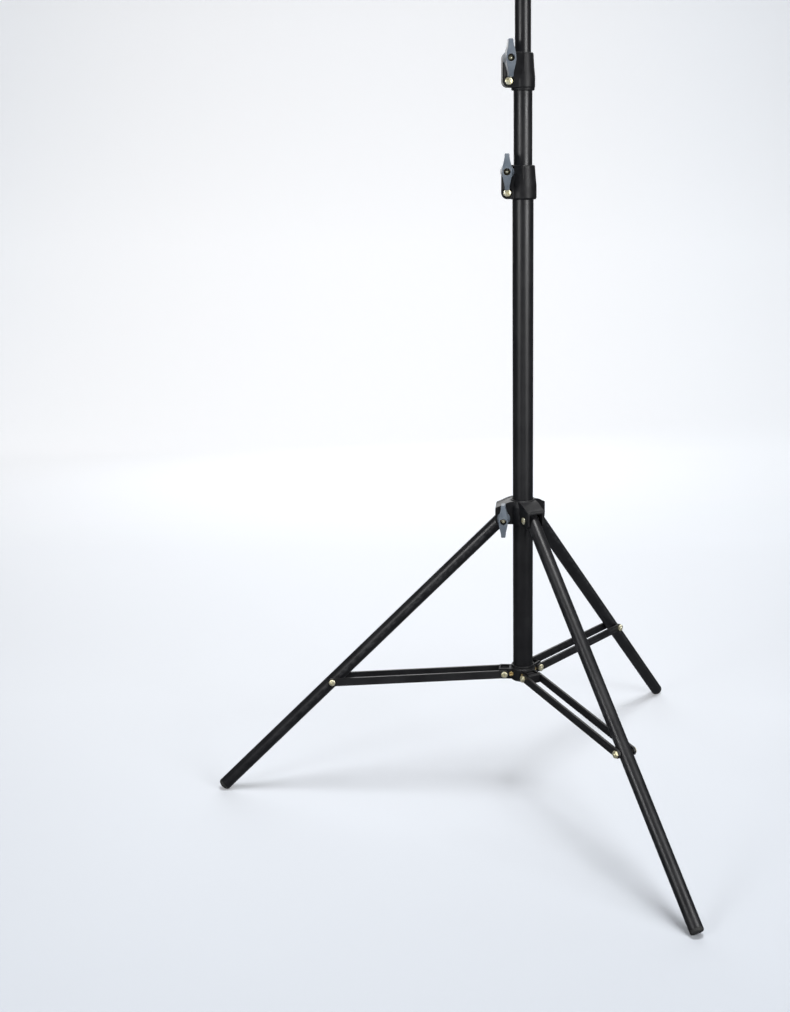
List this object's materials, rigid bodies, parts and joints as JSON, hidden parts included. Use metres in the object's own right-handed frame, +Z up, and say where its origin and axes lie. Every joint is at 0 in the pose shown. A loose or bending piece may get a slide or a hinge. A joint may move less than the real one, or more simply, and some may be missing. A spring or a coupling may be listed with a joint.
{
  "type": "photographic light stand",
  "caption": "Telescoping light stand with a spigot on top, clamp collars with wing knobs, and tripod legs with double braces that fold up against the mast on a sliding collar.",
  "frame": {"origin": "on the floor below the mast, on the mast's axis, midway between the three feet", "axes": "+Z up along the mast; -X along the left leg; -Y towards the wing knobs"},
  "size_m": [0.6156, 0.7082, 1.178],
  "materials": {
    "black_tube": "satin black powder coat on drawn aluminium tube",
    "black_strip": "satin black painted flat bar",
    "black_plastic": "moulded black nylon, fine grain",
    "inner_plastic": "moulded acetal",
    "knob_plastic": "moulded blue-grey plastic, satin",
    "foot_rubber": "moulded black rubber",
    "zinc_screw": "yellow zinc plate",
    "brass": "bare brass",
    "nickel": "bright nickel plate"
  },
  "bodies": {
    "mast": {"lower_mast_tube": "black_tube", "base_casting": "black_plastic", "mast_foot_plug": "black_plastic", "lower_clamp_body": "black_plastic", "lower_clamp_screw": "zinc_screw", "lower_clamp_nut": "zinc_screw", "lower_knob_bolt": "zinc_screw", "left_lug_rivet": "brass", "left_brace_base_screw": "zinc_screw", "left_brace_base_nut": "zinc_screw", "front_lug_rivet": "brass", "front_brace_base_screw": "zinc_screw", "front_brace_base_nut": "zinc_screw", "rear_lug_rivet": "brass", "rear_brace_base_screw": "zinc_screw", "rear_brace_base_nut": "zinc_screw"},
    "middle_section": {"middle_mast_tube": "black_tube", "middle_guide_bush": "inner_plastic", "upper_clamp_body": "black_plastic", "upper_clamp_screw": "zinc_screw", "upper_clamp_nut": "zinc_screw", "upper_knob_bolt": "zinc_screw"},
    "upper_section": {"upper_mast_tube": "black_tube", "upper_guide_bush": "inner_plastic", "spigot": "nickel", "spigot_set_screw": "brass"},
    "lower_knob": {"lower_knob": "knob_plastic", "lower_knob_insert": "brass"},
    "upper_knob": {"upper_knob": "knob_plastic", "upper_knob_insert": "brass"},
    "collar_knob": {"collar_knob": "knob_plastic", "collar_knob_insert": "brass"},
    "collar": {"leg_collar": "black_plastic", "collar_knob_bolt": "zinc_screw", "collar_bolt_spacer": "zinc_screw", "front_leg_pivot_screw": "zinc_screw", "front_leg_pivot_nut": "zinc_screw", "rear_leg_pivot_screw": "zinc_screw", "rear_leg_pivot_nut": "zinc_screw"},
    "left_leg": {"left_leg_tube": "black_tube", "left_leg_plug": "inner_plastic", "left_foot_cap": "foot_rubber"},
    "left_brace": {"left_brace_strip_a": "black_strip", "left_brace_strip_b": "black_strip", "left_brace_leg_screw": "zinc_screw", "left_brace_leg_nut": "zinc_screw"},
    "front_leg": {"front_leg_tube": "black_tube", "front_leg_plug": "inner_plastic", "front_foot_cap": "foot_rubber"},
    "front_brace": {"front_brace_strip_a": "black_strip", "front_brace_strip_b": "black_strip", "front_brace_leg_screw": "zinc_screw", "front_brace_leg_nut": "zinc_screw"},
    "rear_leg": {"rear_leg_tube": "black_tube", "rear_leg_plug": "inner_plastic", "rear_foot_cap": "foot_rubber"},
    "rear_brace": {"rear_brace_strip_a": "black_strip", "rear_brace_strip_b": "black_strip", "rear_brace_leg_screw": "zinc_screw", "rear_brace_leg_nut": "zinc_screw"}
  },
  "joints": [
    {"name": "middle_section_slide", "type": "slide", "parent": "mast", "child": "middle_section", "axis": [0, 0, 1], "range_m": [-0.0825, 0.431]},
    {"name": "upper_section_slide", "type": "slide", "parent": "middle_section", "child": "upper_section", "axis": [0, 0, 1], "range_m": [-0.178, 0.34]},
    {"name": "collar_slide", "type": "slide", "parent": "mast", "child": "collar", "axis": [0, 0, 1], "range_m": [0, 0.33217]},
    {"name": "left_leg_fold", "type": "hinge", "parent": "collar", "child": "left_leg", "pos_m": [-0.02375, 0, 0.38356], "axis": [0, -1, 0], "range_deg": [0, 45]},
    {"name": "left_brace_fold", "type": "hinge", "parent": "mast", "child": "left_brace", "pos_m": [-0.02375, 0, 0.17246], "axis": [0, 1, 0], "range_deg": [0, 93.5]},
    {"name": "front_leg_fold", "type": "hinge", "parent": "collar", "child": "front_leg", "pos_m": [0.01188, -0.02057, 0.38356], "axis": [0.866, 0.5, 0], "range_deg": [0, 45]},
    {"name": "front_brace_fold", "type": "hinge", "parent": "mast", "child": "front_brace", "pos_m": [0.01188, -0.02057, 0.17246], "axis": [-0.866, -0.5, 0], "range_deg": [0, 93.5]},
    {"name": "rear_leg_fold", "type": "hinge", "parent": "collar", "child": "rear_leg", "pos_m": [0.01188, 0.02057, 0.38356], "axis": [-0.866, 0.5, 0], "range_deg": [0, 45]},
    {"name": "rear_brace_fold", "type": "hinge", "parent": "mast", "child": "rear_brace", "pos_m": [0.01188, 0.02057, 0.17246], "axis": [0.866, -0.5, 0], "range_deg": [0, 93.5]},
    {"name": "lower_knob_turn", "type": "hinge", "parent": "mast", "child": "lower_knob", "pos_m": [-0.01812, -0.01391, 0.8052], "axis": [0.0279, -0.9996, 0], "continuous": true},
    {"name": "upper_knob_turn", "type": "hinge", "parent": "middle_section", "child": "upper_knob", "pos_m": [-0.01519, -0.01597, 0.9309], "axis": [0.1564, -0.9877, 0], "continuous": true},
    {"name": "collar_knob_turn", "type": "hinge", "parent": "collar", "child": "collar_knob", "pos_m": [-0.02375, -0.0138, 0.38356], "axis": [0, -1, 0], "continuous": true}
  ],
  "couplings": [
    {"joint": "left_leg_fold", "follows": "collar_slide", "rad_per_m": 2.3644},
    {"joint": "left_brace_fold", "follows": "collar_slide", "rad_per_m": 4.9128},
    {"joint": "front_leg_fold", "follows": "collar_slide", "rad_per_m": 2.3644},
    {"joint": "front_brace_fold", "follows": "collar_slide", "rad_per_m": 4.9128},
    {"joint": "rear_leg_fold", "follows": "collar_slide", "rad_per_m": 2.3644},
    {"joint": "rear_brace_fold", "follows": "collar_slide", "rad_per_m": 4.9128}
  ]
}
